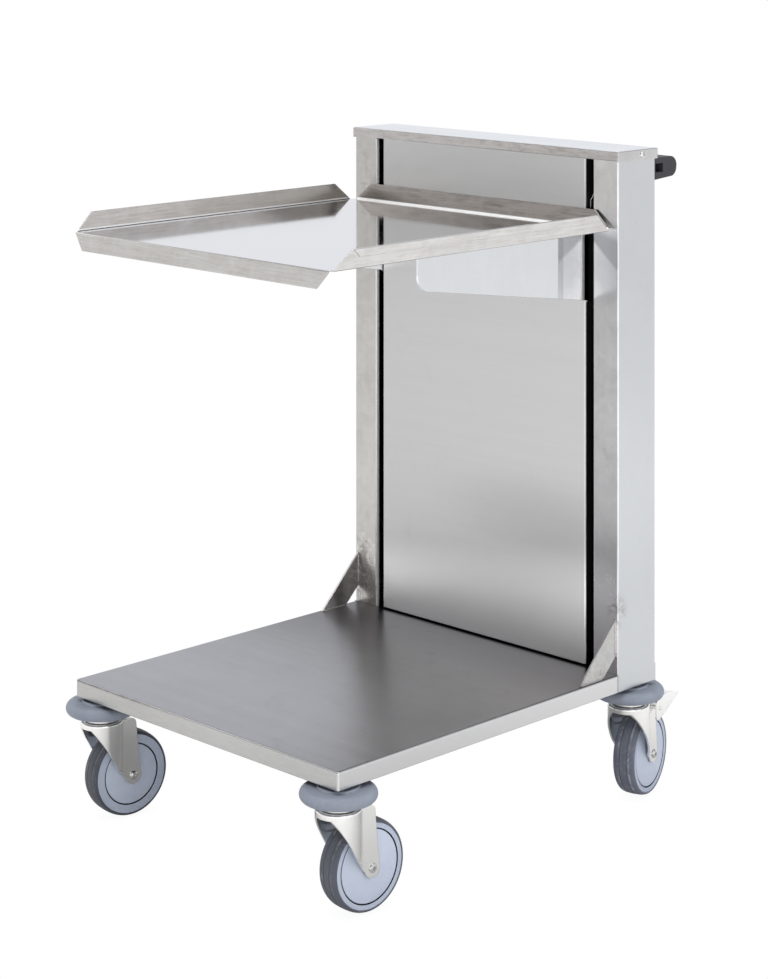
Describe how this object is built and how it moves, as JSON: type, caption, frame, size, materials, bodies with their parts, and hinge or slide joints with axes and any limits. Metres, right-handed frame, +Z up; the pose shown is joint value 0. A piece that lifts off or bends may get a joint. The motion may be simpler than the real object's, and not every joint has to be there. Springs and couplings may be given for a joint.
{
  "type": "self-levelling basket dispenser trolley",
  "caption": "Open stainless spring-levelled basket dispenser trolley: deck on swivel castors, boxed rear column, and a square tray on two arms that sinks under load.",
  "frame": {"origin": "on the floor, under the middle of the bounding box", "axes": "+Z up; +Y from the open front towards the column and push handle; +X to the right of a person facing the open front"},
  "size_m": [0.6122, 0.769, 0.9856],
  "materials": {
    "sheet_2b": "cold-rolled 2B stainless, cloudy",
    "panel_brushed": "fine satin brushed stainless",
    "deck_satin": "satin brushed stainless",
    "tray_bright": "bright annealed stainless",
    "inner_steel": "plain stainless, not seen from outside",
    "pressed_steel": "pressed stainless, bright",
    "hardware": "bright stainless fasteners",
    "spring_steel": "stainless spring wire",
    "bumper_grey": "matt blue-grey elastomer",
    "tyre_grey": "matt dark blue-grey rubber",
    "wheel_grey": "light blue-grey moulded plastic",
    "handle_charcoal": "charcoal moulded plastic, fine grain",
    "buffer_black": "black rubber",
    "roller_white": "natural acetal"
  },
  "bodies": {
    "frame": {"deck_pan": "deck_satin", "deck_channels": "inner_steel", "caster_mounting_plates": "inner_steel", "left_post": "sheet_2b", "right_post": "sheet_2b", "left_gusset": "sheet_2b", "right_gusset": "sheet_2b", "front_panel": "panel_brushed", "rear_panel": "panel_brushed", "top_cap": "sheet_2b", "cover_screws": "hardware", "left_guide_rail": "inner_steel", "right_guide_rail": "inner_steel", "spring_hanger_bar": "inner_steel", "column_foot_tie": "inner_steel", "upper_buffers": "buffer_black", "lower_buffers": "buffer_black", "left_handle_bracket": "handle_charcoal", "right_handle_bracket": "handle_charcoal", "handle_tube": "hardware", "handle_screws": "hardware", "bumper_discs": "bumper_grey", "caster_heads": "pressed_steel", "caster_bolts": "hardware", "swivel_balls": "hardware", "lift_springs": "spring_steel"},
    "carriage": {"left_arm": "tray_bright", "right_arm": "tray_bright", "carriage_cross_plate": "inner_steel", "spring_pickup_bar": "inner_steel", "roller_pins": "hardware", "tray": "tray_bright", "tray_fasteners": "hardware"},
    "left_upper_guide_roller": {"left_upper_guide_roller": "roller_white"},
    "left_lower_guide_roller": {"left_lower_guide_roller": "roller_white"},
    "right_upper_guide_roller": {"right_upper_guide_roller": "roller_white"},
    "right_lower_guide_roller": {"right_lower_guide_roller": "roller_white"},
    "front_left_castor": {"front_left_fork": "pressed_steel", "front_left_axle": "hardware"},
    "front_left_wheel": {"front_left_wheel_core": "wheel_grey", "front_left_tyre": "tyre_grey", "front_left_wheel_covers": "wheel_grey"},
    "front_right_castor": {"front_right_fork": "pressed_steel", "front_right_axle": "hardware"},
    "front_right_wheel": {"front_right_wheel_core": "wheel_grey", "front_right_tyre": "tyre_grey", "front_right_wheel_covers": "wheel_grey"},
    "rear_left_castor": {"rear_left_fork": "pressed_steel", "rear_left_axle": "hardware"},
    "rear_left_wheel": {"rear_left_wheel_core": "wheel_grey", "rear_left_tyre": "tyre_grey", "rear_left_wheel_covers": "wheel_grey"},
    "rear_left_brake": {"rear_left_brake_pedal": "pressed_steel"},
    "rear_right_castor": {"rear_right_fork": "pressed_steel", "rear_right_axle": "hardware"},
    "rear_right_wheel": {"rear_right_wheel_core": "wheel_grey", "rear_right_tyre": "tyre_grey", "rear_right_wheel_covers": "wheel_grey"},
    "rear_right_brake": {"rear_right_brake_pedal": "pressed_steel"}
  },
  "joints": [
    {"name": "tray_lift", "type": "slide", "parent": "frame", "child": "carriage", "axis": [0, 0, 1], "range_m": [-0.49, 0], "stiffness_N_per_m": 600, "springref_m": 0.25, "deforming": ["lift_springs"]},
    {"name": "left_upper_roller_spin", "type": "hinge", "parent": "carriage", "child": "left_upper_guide_roller", "pos_m": [-0.2297, 0.2645, 0.905], "axis": [1, 0, 0], "range_deg": [-1800, 20]},
    {"name": "left_lower_roller_spin", "type": "hinge", "parent": "carriage", "child": "left_lower_guide_roller", "pos_m": [-0.2297, 0.2645, 0.745], "axis": [1, 0, 0], "range_deg": [-20, 1800]},
    {"name": "right_upper_roller_spin", "type": "hinge", "parent": "carriage", "child": "right_upper_guide_roller", "pos_m": [0.2297, 0.2645, 0.905], "axis": [1, 0, 0], "range_deg": [-1800, 20]},
    {"name": "right_lower_roller_spin", "type": "hinge", "parent": "carriage", "child": "right_lower_guide_roller", "pos_m": [0.2297, 0.2645, 0.745], "axis": [1, 0, 0], "range_deg": [-20, 1800]},
    {"name": "front_left_swivel", "type": "hinge", "parent": "frame", "child": "front_left_castor", "pos_m": [-0.2529, -0.3313, 0.15], "axis": [0, 0, 1], "continuous": true},
    {"name": "front_left_wheel_spin", "type": "hinge", "parent": "front_left_castor", "child": "front_left_wheel", "pos_m": [-0.24705, -0.29122, 0.0625], "axis": [0.9895, -0.1444, 0], "continuous": true},
    {"name": "front_right_swivel", "type": "hinge", "parent": "frame", "child": "front_right_castor", "pos_m": [0.2529, -0.3313, 0.15], "axis": [0, 0, 1], "continuous": true},
    {"name": "front_right_wheel_spin", "type": "hinge", "parent": "front_right_castor", "child": "front_right_wheel", "pos_m": [0.25558, -0.29089, 0.0625], "axis": [0.9978, -0.0663, 0], "continuous": true},
    {"name": "rear_left_swivel", "type": "hinge", "parent": "frame", "child": "rear_left_castor", "pos_m": [-0.2529, 0.276, 0.15], "axis": [0, 0, 1], "continuous": true},
    {"name": "rear_left_wheel_spin", "type": "hinge", "parent": "rear_left_castor", "child": "rear_left_wheel", "pos_m": [-0.24483, 0.31569, 0.0625], "axis": [0.9799, -0.1994, 0], "continuous": true},
    {"name": "rear_left_brake_press", "type": "hinge", "parent": "rear_left_castor", "child": "rear_left_brake", "pos_m": [-0.24532, 0.31324, 0.1345], "axis": [-0.9799, 0.1994, 0], "range_deg": [0, 10], "stiffness_Nm_per_rad": 2, "springref_deg": -2.86},
    {"name": "rear_right_swivel", "type": "hinge", "parent": "frame", "child": "rear_right_castor", "pos_m": [0.2529, 0.276, 0.15], "axis": [0, 0, 1], "continuous": true},
    {"name": "rear_right_wheel_spin", "type": "hinge", "parent": "rear_right_castor", "child": "rear_right_wheel", "pos_m": [0.24269, 0.31519, 0.0625], "axis": [0.9677, 0.2521, 0], "continuous": true},
    {"name": "rear_right_brake_press", "type": "hinge", "parent": "rear_right_castor", "child": "rear_right_brake", "pos_m": [0.24332, 0.31277, 0.1345], "axis": [-0.9677, -0.2521, 0], "range_deg": [0, 10], "stiffness_Nm_per_rad": 2, "springref_deg": -2.86}
  ],
  "couplings": [
    {"joint": "left_upper_roller_spin", "follows": "tray_lift", "rad_per_m": 63.291},
    {"joint": "left_lower_roller_spin", "follows": "tray_lift", "rad_per_m": -63.291},
    {"joint": "right_upper_roller_spin", "follows": "tray_lift", "rad_per_m": 63.291},
    {"joint": "right_lower_roller_spin", "follows": "tray_lift", "rad_per_m": -63.291}
  ]
}
